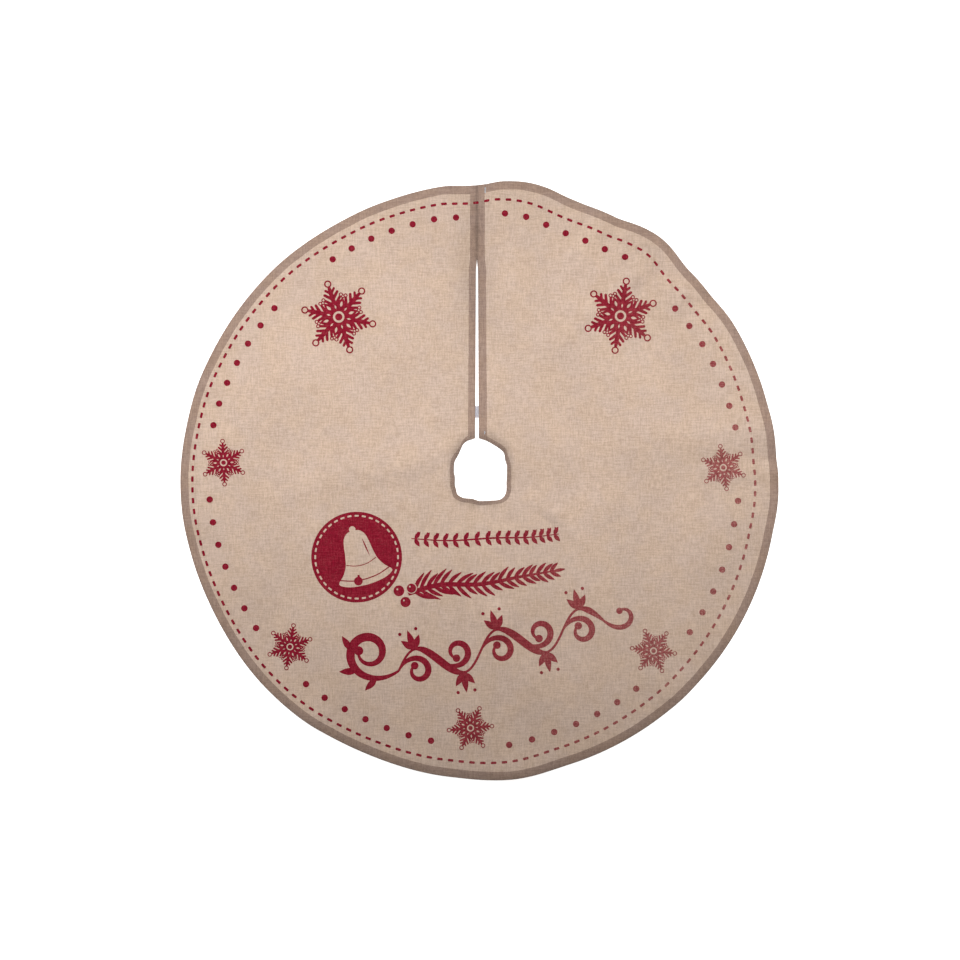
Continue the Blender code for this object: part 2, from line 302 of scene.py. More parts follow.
def spoke_paths(side, first_offset):
    """Paths from the opening to the rim, from beside the slit round to the fold line."""
    turn, step = (2.0 * pi, LEFT_STEP) if side == LEFT else (0.0, RIGHT_STEP)
    count = 4
    offsets = np.linspace(first_offset, CLOSURE_ZONE_WIDTH, count)
    paths = [slit_path(side, offset) for offset in offsets]
    last, length = paths[-1]
    inner, outer = last(np.array(0.0)), last(np.array(length))
    inner_start = atan2(*(inner - OPENING_CENTRE)[::-1])
    outer_start = atan2(*outer[::-1])
    near = (turn - 1.0, turn + 1.0)
    inner_end = solve(lambda a: opening_point(a)[1] - FOLD_LINE_Y, *near)
    outer_end = solve(lambda a: rim_point(a)[1] - FOLD_LINE_Y, *near)
    count = ceil(abs(outer_end - outer_start) / radians(step))
    for share in np.linspace(0.0, 1.0, count + 1)[1:]:
        inner = opening_point(inner_start + (inner_end - inner_start) * share)
        outer = rim_point(outer_start + (outer_end - outer_start) * share)
        paths.append(straight_path(inner, outer))
    return paths


# ======== mesh helpers

def make_piece(name, points, faces, paint, smooth_angle=40.0):
    """A mesh piece with its resting points kept in an attribute, for the materials."""
    mesh = bpy.data.meshes.new(name)
    mesh.from_pydata(np.asarray(points, float).reshape(-1, 3).tolist(), [], faces)
    mesh.update()
    mesh.shade_smooth()
    if smooth_angle < 180.0:
        mesh.set_sharp_from_angle(angle=radians(smooth_angle))
    rest = mesh.attributes.new("rest", "FLOAT_VECTOR", "POINT")
    rest.data.foreach_set("vector", np.asarray(points, np.float32).ravel())
    mesh.materials.append(paint)
    piece = bpy.data.objects.new(name, mesh)
    bpy.context.scene.collection.objects.link(piece)
    return piece


def grid_faces(rows, columns, start=0, flip=False, close=False):
    faces = []
    for i in range(rows - 1):
        for j in range(columns if close else columns - 1):
            k = (j + 1) % columns
            face = (start + i * columns + j, start + i * columns + k,
                    start + (i + 1) * columns + k, start + (i + 1) * columns + j)
            faces.append(face[::-1] if flip else face)
    return faces


def sheet_faces(rows, columns, flip):
    """Faces of a closed sheet: one grid of points, then the grid of its other side."""
    total = rows * columns
    faces = grid_faces(rows, columns, flip=flip)
    faces += grid_faces(rows, columns, start=total, flip=not flip)
    edge = list(range(columns)) + [i * columns + columns - 1 for i in range(1, rows)]
    edge += [(rows - 1) * columns + j for j in range(columns - 2, -1, -1)]
    edge += [i * columns for i in range(rows - 2, 0, -1)]
    for a, b in zip(edge, edge[1:] + edge[:1]):
        face = (b, a, a + total, b + total)
        faces.append(face[::-1] if flip else face)
    return faces


def tube_faces(rings, around, start=0, flip=False):
    """Faces of a tube, capped at both ends."""
    first = tuple(range(start, start + around))
    last = tuple(k + (rings - 1) * around for k in first)
    caps = [first, last[::-1]] if flip else [first[::-1], last]
    return grid_faces(rings, around, start, flip, close=True) + caps


def swept_band(name, rings, paint, flip, smooth_angle=50.0):
    """A closed band: the same outline at every station, capped at both ends."""
    stations, around = rings.shape[:2]
    faces = tube_faces(stations, around, flip=flip)
    return make_piece(name, rings, faces, paint, smooth_angle)


# ======== material helpers

def sum_node(operation):
    return lambda nodes, *values: nodes.math(operation, *values)


class Nodes:
    """Short forms for building one material's nodes."""

    plus, minus, mul = sum_node("ADD"), sum_node("SUBTRACT"), sum_node("MULTIPLY")
    mul_add, power = sum_node("MULTIPLY_ADD"), sum_node("POWER")

    def __init__(self, name):
        self.material = bpy.data.materials.new(name)
        self.material.use_nodes = True
        self.tree = self.material.node_tree
        self.shader = self.tree.nodes["Principled BSDF"]

    def add(self, kind, output=0, settings=None, **values):
        node = self.tree.nodes.new(kind)
        for key, value in (settings or {}).items():
            setattr(node, key, value)
        for key, value in values.items():
            self.put(node.inputs[key.replace("_", " ")], value)
        return node.outputs[output]

    def put(self, socket, value):
        if isinstance(value, bpy.types.NodeSocket):
            self.tree.links.new(value, socket)
        else:
            socket.default_value = value

    def math(self, operation, *values):
        node = self.tree.nodes.new("ShaderNodeMath")
        node.operation = operation
        for socket, value in zip(node.inputs, values):
            self.put(socket, value)
        return node.outputs[0]

    def scale(self, vector, factors):
        node = self.tree.nodes.new("ShaderNodeVectorMath")
        node.operation = "MULTIPLY"
        self.put(node.inputs[0], vector)
        node.inputs[1].default_value = factors
        return node.outputs[0]

    def blend(self, factor, first, second, how="MIX"):
        node = self.tree.nodes.new("ShaderNodeMix")
        node.data_type = "RGBA"
        node.blend_type = how
        self.put(node.inputs[0], factor)
        self.put(node.inputs[6], first)
        self.put(node.inputs[7], second)
        return node.outputs[2]

    def shade(self, colour, factor):
        return self.blend(1.0, colour, factor, "MULTIPLY")

    def apart(self, first, second):
        return self.math("ABSOLUTE", self.minus(first, second))

    def remap(self, value, low, high, to_low=0.0, to_high=1.0):
        node = self.tree.nodes.new("ShaderNodeMapRange")
        node.interpolation_type = "SMOOTHSTEP"
        for socket, setting in zip(node.inputs, (value, low, high, to_low, to_high)):
            self.put(socket, setting)
        return node.outputs[0]

    def noise(self, vector, scale, detail=2.0, roughness=0.5):
        return self.add("ShaderNodeTexNoise", Vector=vector, Scale=scale, Detail=detail,
                        Roughness=roughness)

    def rest(self):
        return self.add("ShaderNodeAttribute", output=1, settings={"attribute_name": "rest"})

    def bump(self, height, distance, strength=1.0):
        normal = self.add("ShaderNodeBump", Height=height, Distance=distance, Strength=strength)
        self.put(self.shader.inputs["Normal"], normal)

    def finish(self, colour, roughness, **plain):
        self.put(self.shader.inputs["Base Color"], colour)
        self.put(self.shader.inputs["Roughness"], roughness)
        for key, value in plain.items():
            self.shader.inputs[key.replace("_", " ")].default_value = value
        return self.material


def rgb(red, green, blue):
    return (red, green, blue, 1.0)


THREAD_PITCH = 0.00095                  # from one thread of the weave to the next


def split(n, vector):
    node = n.tree.nodes.new("ShaderNodeSeparateXYZ")
    n.put(node.inputs[0], vector)
    return node.outputs


def weave(n, rest):
    """Plain weave of slubby threads: the height of the threads, and how thick they are."""
    drift = n.noise(rest, 55.0, 2.0)
    x, y, _ = split(n, rest)
    across = n.mul_add(x, 1.0 / THREAD_PITCH, n.mul(drift, 1.6))
    along = n.mul_add(y, 1.0 / THREAD_PITCH, n.mul(drift, -1.3))
    warp = n.math("ABSOLUTE", n.math("SINE", n.mul(across, pi)))
    weft = n.math("ABSOLUTE", n.math("SINE", n.mul(along, pi)))
    cell = n.plus(n.math("FLOOR", across), n.math("FLOOR", along))
    odd = n.math("ABSOLUTE", n.math("MODULO", cell, 2.0))
    over = n.mul(warp, n.power(weft, 0.45))
    under = n.mul(weft, n.power(warp, 0.45))
    threads = n.plus(n.mul(over, odd),
                     n.mul(under, n.minus(1.0, odd)))
    warp_slubs = n.noise(n.scale(rest, (560.0, 62.0, 40.0)), 1.0, 2.0, 0.6)
    weft_slubs = n.noise(n.scale(rest, (54.0, 500.0, 40.0)), 1.0, 2.0, 0.6)
    grain = n.noise(rest, 430.0, 2.0, 0.65)
    slubs = n.plus(n.mul(warp_slubs, 0.36), n.mul(weft_slubs, 0.34))
    return threads, n.mul_add(grain, 0.30, slubs)


def painted_edge_shade(n, rest):
    """Painted shade: darker cloth round the opening, left of the slit, and along the join of the
    slit's edges.
    """
    x, y, _ = split(n, rest)
    patchy = n.mul(n.noise(rest, 38.0, 2.0), 0.34)
    aside = n.apart(x, float(OPENING_CENTRE[0]))
    ahead = n.apart(y, float(OPENING_CENTRE[1]))
    power = 2.6                         # squareness of the shaded area round the opening
    out = n.plus(n.power(n.math("DIVIDE", aside, OPENING_HALF_WIDTH), power),
                 n.power(n.math("DIVIDE", ahead, OPENING_HALF_LENGTH), power))
    out = n.plus(n.power(out, 1.0 / power), patchy)
    opening = n.remap(out, 1.06, 1.58, 0.68, 1.0)
    from_slit = n.apart(x, SLIT_X - 0.006)
    beside = n.plus(from_slit, n.mul(patchy, 0.06))
    beside = n.remap(beside, 0.012, 0.058, 1.0, 0.0)
    along = n.mul(n.remap(y, 0.10, 0.32), n.remap(y, 0.36, 0.45, 1.0, 0.2))
    slit = n.mul_add(n.mul(beside, along), -0.16, 1.0)
    from_join = n.apart(x, SLIT_X)
    join = n.remap(from_join, 0.0006, 0.0050, 0.24, 0.0)
    join = n.mul_add(n.mul(join, n.remap(y, 0.30, 0.36)), -1.0, 1.0)
    return n.mul(n.mul(opening, slit), join)


def cloth_colour(n, rest, light, dark, threads, slubs, contrast=1.0):
    """Cloth colour: thick and thin threads, painted shade in the pits between them, broad
    unevenness, and painted shade round the opening and the slit.
    """
    colour = n.blend(n.remap(slubs, 0.36, 0.64), dark, light)
    # painted shade: the hollows between the threads are darkened
    painted_pit_shade = n.remap(threads, 0.05, 0.55, 1.0 - 0.22 * contrast, 1.0)
    colour = n.shade(colour, painted_pit_shade)
    broad = n.remap(n.noise(rest, 9.0, 3.0, 0.55), 0.3, 0.7, 0.955, 1.03)
    colour = n.shade(colour, broad)
    tint = n.blend(n.remap(n.noise(rest, 24.0, 3.0, 0.6), 0.35, 0.65), WARM_TINT, COOL_TINT)
    colour = n.shade(colour, tint)
    # painted shade round the opening, beside the slit and along the slit's join
    return n.shade(colour, painted_edge_shade(n, rest))


def cloth_material(name, light, dark, contrast=1.0, painted_front_shade=1.0):
    """Woven cloth. A painted shade multiplies its colour at the front, fading to the middle."""
    n = Nodes(name)
    rest = n.rest()
    threads, slubs = weave(n, rest)
    colour = cloth_colour(n, rest, light, dark, threads, slubs, contrast)
    # painted shade: darker towards the front
    front = n.remap(split(n, rest)[1], -0.44, 0.02, painted_front_shade, 1.0)
    colour = n.shade(colour, front)
    height = n.plus(n.mul(threads, 0.7), n.mul(slubs, 2.2))
    n.bump(height, 0.00028, 0.75)
    return n.finish(colour, n.remap(threads, 0.0, 1.0, 0.95, 0.82), Sheen_Weight=0.12,
                    Sheen_Roughness=0.55, Specular_IOR_Level=0.15)


def ink_material():
    """Burgundy ink soaked into the weave. More cloth shows through to the right."""
    n = Nodes("print_ink")
    rest = n.rest()
    threads, slubs = weave(n, rest)
    cloth = cloth_colour(n, rest, CLOTH_LIGHT, CLOTH_DARK, threads, slubs)
    ink = n.blend(n.remap(slubs, 0.38, 0.62), INK_DARK, INK_LIGHT)
    # painted shade: the ink is darkened in the hollows between the threads
    ink = n.shade(ink, n.remap(threads, 0.05, 0.5, 0.72, 1.0))
    x, y, _ = split(n, rest)
    side = n.minus(x, n.mul(y, 0.45))
    fade = n.remap(side, 0.02, 0.44, 0.0, 0.15)
    grain = n.noise(rest, 800.0, 2.0, 0.6)
    patches = n.noise(rest, 70.0, 3.0, 0.6)
    speckle = n.plus(n.mul(grain, 0.55), n.mul(slubs, 0.45))
    worn = n.remap(n.plus(speckle, n.mul(patches, 0.18)), 0.54, 0.72)
    amount = n.plus(fade, n.mul(worn, n.mul_add(fade, 1.4, 0.05)))
    colour = n.blend(amount, ink, cloth)
    height = n.plus(n.mul(threads, 0.5), n.mul(slubs, 2.0))
    n.bump(height, 0.00026, 0.7)
    return n.finish(colour, 0.92, Specular_IOR_Level=0.06)


def thread_material(name, light, dark):
    """Twisted sewing thread."""
    n = Nodes(name)
    rest = n.rest()
    strands = n.noise(rest, 1500.0, 2.0)
    n.bump(strands, 0.0001, 0.6)
    return n.finish(n.blend(strands, dark, light), 0.75, Sheen_Weight=0.2, Specular_IOR_Level=0.3)


def tape_material(name, light, dark, pitch, height):
    """White nylon tape with a fine ribbed ground."""
    n = Nodes(name)
    rest = n.rest()
    ribs = n.add("ShaderNodeTexWave", output=1, Vector=rest, Scale=1.0 / pitch, Distortion=0.6,
                 Detail=1.0, settings={"bands_direction": "Y"})
    fuzz = n.noise(rest, 1400.0, 3.0, 0.7)
    mixed = n.plus(n.mul(ribs, 0.5), n.mul(fuzz, 0.5))
    n.bump(mixed, height, 0.8)
    return n.finish(n.blend(mixed, dark, light), 0.6, Sheen_Weight=0.3, Specular_IOR_Level=0.4)


CLOTH_LIGHT, CLOTH_DARK = rgb(0.690, 0.530, 0.428), rgb(0.508, 0.376, 0.295)
WARM_TINT, COOL_TINT = rgb(1.0, 0.975, 0.93), rgb(0.985, 0.98, 0.985)
# The hem's colours are the cloth's, darkened: painted shade for the doubled cloth, which lets less
# light through.
HEM_SHADED_LIGHT, HEM_SHADED_DARK = rgb(0.425, 0.300, 0.238), rgb(0.288, 0.197, 0.156)
INK_LIGHT, INK_DARK = rgb(0.285, 0.0075, 0.028), rgb(0.180, 0.0045, 0.016)

CLOTH = cloth_material("linen_look_cloth", CLOTH_LIGHT, CLOTH_DARK)
# hem cloth: painted shade, darker still towards the front
HEM = cloth_material("folded_hem_cloth", HEM_SHADED_LIGHT, HEM_SHADED_DARK, 0.7, painted_front_shade=0.88)
INK = ink_material()
THREAD = thread_material("sewing_thread", rgb(0.42, 0.32, 0.26), rgb(0.26, 0.19, 0.15))
WHITE_THREAD = thread_material("white_thread", rgb(0.56, 0.59, 0.63), rgb(0.36, 0.38, 0.42))
TAPE_LIGHT, TAPE_DARK = rgb(0.86, 0.86, 0.92), rgb(0.66, 0.66, 0.74)
PAD_LIGHT, PAD_DARK = rgb(0.88, 0.88, 0.92), rgb(0.70, 0.70, 0.76)
HOOK_TAPE = tape_material("hook_tape", TAPE_LIGHT, TAPE_DARK, pitch=0.0016, height=0.00015)
LOOP_TAPE = tape_material("loop_tape", PAD_LIGHT, PAD_DARK, pitch=0.0009, height=0.0003)


# ======== camera, floor and light

def make_camera():
    data = bpy.data.cameras.new("camera")
    data.sensor_width = SENSOR_WIDTH
    data.lens = SENSOR_WIDTH * CAMERA_HEIGHT / VIEW_WIDTH
    camera = bpy.data.objects.new("camera", data)
    camera.location = (0.0008, 0.0008, CAMERA_HEIGHT)
    bpy.context.scene.collection.objects.link(camera)
    bpy.context.scene.camera = camera


def make_floor():
    n = Nodes("pale_floor")
    grain = n.noise(n.add("ShaderNodeTexCoord", output=3), 30.0, 2.0)
    colour = n.blend(grain, rgb(0.86, 0.86, 0.86), rgb(0.90, 0.90, 0.90))
    paint = n.finish(colour, 0.9, Emission_Color=rgb(1.0, 1.0, 1.0), Emission_Strength=FLOOR_GLOW)
    half = 6.0
    mesh = bpy.data.meshes.new("floor")
    corners = [(-half, -half, 0.0), (half, -half, 0.0), (half, half, 0.0), (-half, half, 0.0)]
    mesh.from_pydata(corners, [], [(0, 1, 2, 3)])
    mesh.materials.append(paint)
    floor = bpy.data.objects.new("floor", mesh)
    floor.location.z = -0.0003
    bpy.context.scene.collection.objects.link(floor)


def make_light(name, place, target, power):
    data = bpy.data.lights.new(name, "AREA")
    data.shape = "DISK"
    data.size = LAMP_SIZE
    data.energy = power
    lamp = bpy.data.objects.new(name, data)
    lamp.location = place
    aim = Vector(target) - Vector(place)
    lamp.rotation_euler = aim.to_track_quat("-Z", "Y").to_euler()
    bpy.context.scene.collection.objects.link(lamp)


def make_world():
    world = bpy.data.worlds.new("studio")
    world.use_nodes = True
    background = world.node_tree.nodes["Background"]
    background.inputs["Color"].default_value = rgb(1.0, 1.0, 1.0)
    background.inputs["Strength"].default_value = SKY_LIGHT
    bpy.context.scene.world = world
    bpy.context.scene.view_settings.view_transform = "Standard"


make_camera()
make_floor()
make_world()
make_light("key", (-0.50, 0.30, 0.90), (-0.30, 0.05, 0.0), power=8.2)
make_light("fill", (0.50, 0.28, 0.90), (0.30, 0.05, 0.0), power=7.0)


# ======== cloth panels

def panel_piece(name, side, slit_hem_width):
    paths = spoke_paths(side, slit_hem_width - TUCK)
    share = np.linspace(0.0, 1.0, ROWS)
    first = OPENING_HEM_WIDTH - TUCK
    places = np.array([
        path(first + (length - OUTER_HEM_WIDTH + TUCK - first) * share) for path, length in paths
    ])
    height = cloth_height(places[..., 0], places[..., 1]) + CLOTH_THICKNESS
    top = np.concatenate([places, height[..., None]], axis=-1)
    points = np.stack([top, top - np.array((0.0, 0.0, CLOTH_THICKNESS))])
    faces = sheet_faces(*height.shape, flip=(side == LEFT))
    return make_piece(name, points, faces, CLOTH)


def hem_profile(width):
    """Outline of a turned hem: distance from its free edge, height over the cloth's underside."""
    top = CLOTH_THICKNESS
    return (
        (width, top + 0.00005),
        (width - 0.0006, top + 0.00034),
        (width - 0.0017, top + 0.00014),
        (width - 0.0028, top + 0.00038),
        (0.5 * width, top + 0.00046),
        (0.0017, top + 0.00036),
        (0.0007, top + 0.00005),
        (0.0001, top - 0.00060),
        (0.0000, top - 0.00130),
        (0.0004, top - 0.00205),
        (0.0012, top - 0.00240),
        (0.5 * width, top - 0.00250),
        (width - 0.0008, top - 0.00250),
        (width, top - 0.00220),
    )


STITCH_INSET = 0.0017


def hem_rings(line, width):
    """The hem's outline at every station, with small puckers along its stitching."""
    rings = []
    run = running(np.hypot(*np.diff(line(0.0), axis=0).T))
    inward = (line(width) - line(0.0)) / width
    pucker = np.array([noise.noise(Vector((r * 95.0, width * 900.0, 1.7))) for r in run])
    swell = np.array([noise.noise(Vector((r * 33.0, width * 700.0, 6.2))) for r in run])
    for distance, height in hem_profile(width):
        place = line(distance)
        level = cloth_height(place[:, 0], place[:, 1]) + height
        if height > 0.0 and distance > 0.0005:
            level += 0.00012 * pucker + 0.00016 * swell
        if distance == width:
            place = place + inward * (0.00035 * swell)[:, None]
        rings.append(np.concatenate([place, level[:, None]], axis=-1))
    return np.stack(rings, axis=1)


def ring_line(side, slit_hem_width, at_rim):
    """The line at any distance in from the rim or the opening."""
    edge, inward = [], []
    for path, length in spoke_paths(side, slit_hem_width):
        near, far = path(np.array([length, length - 0.001]) if at_rim else np.array([0.0, 0.001]))
        edge.append(near)
        inward.append((far - near) / np.hypot(*(far - near)))
    edge, inward = refine(np.array(edge)), refine(np.array(inward))
    return lambda distance: edge + inward * distance


def refine(points):
    """One more point between each two."""
    middle = 0.5 * (points[1:] + points[:-1])
    result = np.empty((len(points) + len(middle), points.shape[1]))
    result[0::2], result[1::2] = points, middle
    return result


def slit_line(side, width):
    """The line at any distance in from the slit. It ends on the rim and on the opening."""
    def line(distance):
        path, length = slit_path(side, distance)
        places = path(np.linspace(0.0, length, 150))
        places[:, 0] -= side * PRESS * (1.0 - distance / width)
        return places
    return line


def ride_flap(piece):
    """A piece of the flap: its place is baked into its mesh."""
    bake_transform(piece)


left_panel = panel_piece("printed_cloth", LEFT, LEFT_SLIT_HEM_WIDTH)
right_panel = panel_piece("printed_cloth_flap", RIGHT, RIGHT_SLIT_HEM_WIDTH)

HEM_EDGES = {                           # line, width, faces turned, the solid it stands for
    "turned_outer_hem": (
        ring_line(LEFT, LEFT_SLIT_HEM_WIDTH, True), OUTER_HEM_WIDTH, False, "outer_hem"),
    "turned_outer_hem_flap": (
        ring_line(RIGHT, RIGHT_SLIT_HEM_WIDTH, True), OUTER_HEM_WIDTH, True, "flap_outer_hem"),
    "turned_opening_hem": (
        ring_line(LEFT, LEFT_SLIT_HEM_WIDTH, False), OPENING_HEM_WIDTH, True, "opening_hem"),
    "turned_opening_hem_flap": (
        ring_line(RIGHT, RIGHT_SLIT_HEM_WIDTH, False), OPENING_HEM_WIDTH, False,
        "flap_opening_hem"),
    "turned_slit_hem_left": (
        slit_line(LEFT, LEFT_SLIT_HEM_WIDTH), LEFT_SLIT_HEM_WIDTH, False, "left_slit_hem"),
    "turned_slit_hem_right": (
        slit_line(RIGHT, RIGHT_SLIT_HEM_WIDTH), RIGHT_SLIT_HEM_WIDTH, True, "right_slit_hem"),
}
hems = {
    name: swept_band(name, hem_rings(line, width), HEM, flip)
    for name, (line, width, flip, _) in HEM_EDGES.items()
}


# ======== filling printed outlines

INK_STEP = 0.004                        # longest edge of an ink film, so that it follows the folds


def divide(outline, step):
    """The outline with points added along its long edges."""
    result = []
    for a, b in zip(outline, np.roll(outline, -1, axis=0)):
        count = max(1, ceil(float(np.hypot(*(b - a))) / step))
        result.extend(a + (b - a) * i / count for i in range(count))
    return np.array(result)


def inside(points, outline):
    """Which points an outline goes round, counting its turns, so it may overlap itself."""
    a, b = outline, np.roll(outline, -1, axis=0)
    px, py = points[:, :1], points[:, 1:]
    side = (b[:, 0] - a[:, 0]) * (py - a[:, 1]) - (px - a[:, 0]) * (b[:, 1] - a[:, 1])
    up = (a[:, 1] <= py) & (b[:, 1] > py) & (side > 0.0)
    down = (a[:, 1] > py) & (b[:, 1] <= py) & (side < 0.0)
    return (up.sum(axis=1) - down.sum(axis=1)) != 0


def printed(points, layers):
    """Which points are inked, when the layers are put down in turn: ink added or left out."""
    result = np.zeros(len(points), bool)
    for adds, outline in layers:
        low, high = outline.min(axis=0), outline.max(axis=0)
        near = np.flatnonzero(((points >= low) & (points <= high)).all(axis=1))
        if len(near):
            result[near[inside(points[near], outline)]] = adds
    return result


def fill(layers):
    """Points and triangles of the inked area."""
    layers = [(adds, divide(np.asarray(outline), INK_STEP)) for adds, outline in layers]
    every = np.concatenate([outline for _, outline in layers])
    low, high = every.min(axis=0), every.max(axis=0)
    columns = np.arange(low[0], high[0], INK_STEP)
    rows = np.arange(low[1], high[1], INK_STEP * 0.87)
    grid = np.array([
        (x + (i % 2) * 0.5 * INK_STEP, y) for i, y in enumerate(rows) for x in columns
    ]).reshape(-1, 2)
    grid = grid[printed(grid, layers)] if len(grid) else grid
    edges, start = [], 0
    for _, outline in layers:
        total = len(outline)
        edges += [(start + i, start + (i + 1) % total) for i in range(total)]
        start += total
    points = [Vector(p) for p in np.concatenate([every, grid]).tolist()]
    found = delaunay_2d_cdt(points, edges, [], 0, 1e-6)
    places = np.array([tuple(p) for p in found[0]])
    triangles = np.array(found[2], int)
    corners = places[triangles]
    keep = printed(corners.mean(axis=1), layers)
    ab, ac = corners[:, 1] - corners[:, 0], corners[:, 2] - corners[:, 0]
    turn = ab[:, 0] * ac[:, 1] - ab[:, 1] * ac[:, 0]
    keep &= np.abs(turn) > 1e-12
    triangles[turn < 0.0] = triangles[turn < 0.0][:, ::-1]
    used, numbers = np.unique(triangles[keep], return_inverse=True)
    return places[used], numbers.reshape(-1, 3)


def turned(outline, angle, place=(0.0, 0.0)):
    c, s = cos(angle), sin(angle)
    return np.asarray(outline) @ np.array(((c, s), (-s, c))) + np.asarray(place)


class Drawing(list):
    """Outlines in the order they are put down, each with whether it adds ink or leaves it out."""

    def ink(self, outline):
        self.append((True, outline))

    def bare(self, outline):
        self.append((False, outline))


def disc(x, y, radius, sides=24):
    angle = np.linspace(0.0, 2.0 * pi, sides, endpoint=False)
    return np.array((x, y)) + polar(np.full(sides, radius), angle)


def leaf(x, y, heading, length, width):
    """A pointed leaf that starts at x, y."""
    share = np.linspace(0.0, 1.0, 9)
    half = 0.5 * width * np.sin(pi * share ** 0.85)
    upper = np.stack([length * share, half], axis=-1)
    lower = np.stack([length * share[-2:0:-1], -half[-2:0:-1]], axis=-1)
    return turned(np.concatenate([upper, lower]), heading, (x, y))


def smooth_path(points, per_span=10):
    """A smooth line through the points."""
    points = np.asarray(points, float)
    ends = np.concatenate([[2.0 * points[0] - points[1]], points, [2.0 * points[-1] - points[-2]]])
    result = []
    for a, b, c, d in zip(ends, ends[1:], ends[2:], ends[3:]):
        for t in np.arange(per_span) / per_span:
            result.append(0.5 * (2.0 * b + (c - a) * t + (2.0 * a - 5.0 * b + 4.0 * c - d) * t ** 2
                                 + (3.0 * b - a - 3.0 * c + d) * t ** 3))
    return np.array(result + [points[-1]])


def headings(path):
    along = np.gradient(path, axis=0)
    return np.arctan2(along[:, 1], along[:, 0])


def stroke(path, widths):
    """Outline of a brush stroke of changing width."""
    heading = headings(path)
    aside = np.stack([-np.sin(heading), np.cos(heading)], axis=-1)
    aside = aside * (0.5 * np.asarray(widths))[:, None]
    return np.concatenate([path + aside, (path - aside)[::-1]])


def taper(count, start, middle, end):
    """Stroke widths that swell in the middle."""
    share = np.linspace(0.0, 1.0, count)
    return start + (end - start) * share + (middle - 0.5 * (start + end)) * np.sin(pi * share)


def curl(x, y, heading, length, first, last, step=0.002):
    """A line whose bend grows evenly from first to last, in turns of one radian per metre."""
    count = int(length / step)
    bend = np.linspace(first, last, count)
    direction = heading + running(bend[:-1] * step)
    moves = polar(np.full(count, step), direction)
    return np.array((x, y)) + np.concatenate([[[0.0, 0.0]], np.cumsum(moves[:-1], axis=0)])


# ======== printed motifs

PRINT_CENTRE = np.array((-0.0083, -0.0008))
DASH_RING = 0.424
DASH_LENGTH, DASH_WIDTH, DASH_PITCH = 0.0084, 0.0038, 0.0162
FIRST_DASH = 89.6                       # direction of one dash, degrees
DOT_RADIUS = 0.0049
DOT_RING_BACK, DOT_RING_FRONT = 0.403, 0.399
DOTS_IN_ROW = 7
DOT_ROWS = (                            # first and last direction of each row of dots, degrees
    (11.6, 40.6), (56.0, 83.4), (93.9, 122.5), (139.1, 167.9),
    (184.0, 214.0), (230.4, 260.6), (277.6, 308.0), (325.0, 355.7),
)
SMALL_ARM, LARGE_ARM = 0.0326, 0.0524
FLAKES = (                              # direction, distance, arm length, turn of the arms
    (3.1, 0.378, SMALL_ARM, 39.0),
    (48.4, 0.334, LARGE_ARM, 21.0),
    (129.5, 0.322, LARGE_ARM, 48.5),
    (175.8, 0.380, SMALL_ARM, 32.5),
    (222.0, 0.375, SMALL_ARM, 20.5),
    (269.2, 0.374, SMALL_ARM, 5.5),
    (316.6, 0.374, SMALL_ARM, 53.0),
)
BADGE_CENTRE, BADGE_RADIUS = (-0.186, -0.116), 0.0687
BADGE_DASHES, BADGE_DASH_RING = 36, 0.0627
BELL_LEAN = radians(16.0)


def bar(length, width):
    """A short dash with softened corners, along X."""
    a, b, cut = 0.5 * length, 0.5 * width, 0.22 * width
    return np.array((
        (a - cut, -b), (a, -b + cut), (a, b - cut), (a - cut, b),
        (-a + cut, b), (-a, b - cut), (-a, -b + cut), (-a + cut, -b),
    ))


def ring_place(radius, angle, bulge_share):
    """A point of the printed border, which follows the rim's bulges a little."""
    return PRINT_CENTRE + polar(radius + bulge_share * rim_bulge(angle), angle)


def border():
    """The dashes and dots round the rim. The dash that lies over the slit is cut in two."""
    shapes = []
    count = round(2.0 * pi * DASH_RING / DASH_PITCH)
    dash = bar(DASH_LENGTH, DASH_WIDTH)
    for i in range(count):
        angle = radians(FIRST_DASH) + 2.0 * pi * i / count
        here, there = (ring_place(DASH_RING, a, 0.9) for a in (angle, angle + 0.01))
        outline = turned(dash, atan2(*(there - here)[::-1]), here)
        if here[1] > 0.0 and np.ptp(np.sign(outline[:, 0] - SLIT_X)) > 0.0:
            for side in (LEFT, RIGHT):
                inner = SLIT_X - side * 0.0004
                outer = inner - side
                away = np.array(((inner, -1.0), (outer, -1.0), (outer, 1.0), (inner, 1.0)))
                shapes.append([(True, outline), (False, away + (0.0, here[1]))])
        else:
            shapes.append([(True, outline)])
    for first, last in DOT_ROWS:
        for direction in np.radians(np.linspace(first, last, DOTS_IN_ROW)):
            radius = DOT_RING_BACK if direction < pi else DOT_RING_FRONT
            shapes.append([(True, disc(*ring_place(radius, direction, 0.85), DOT_RADIUS, 18))])
    return shapes


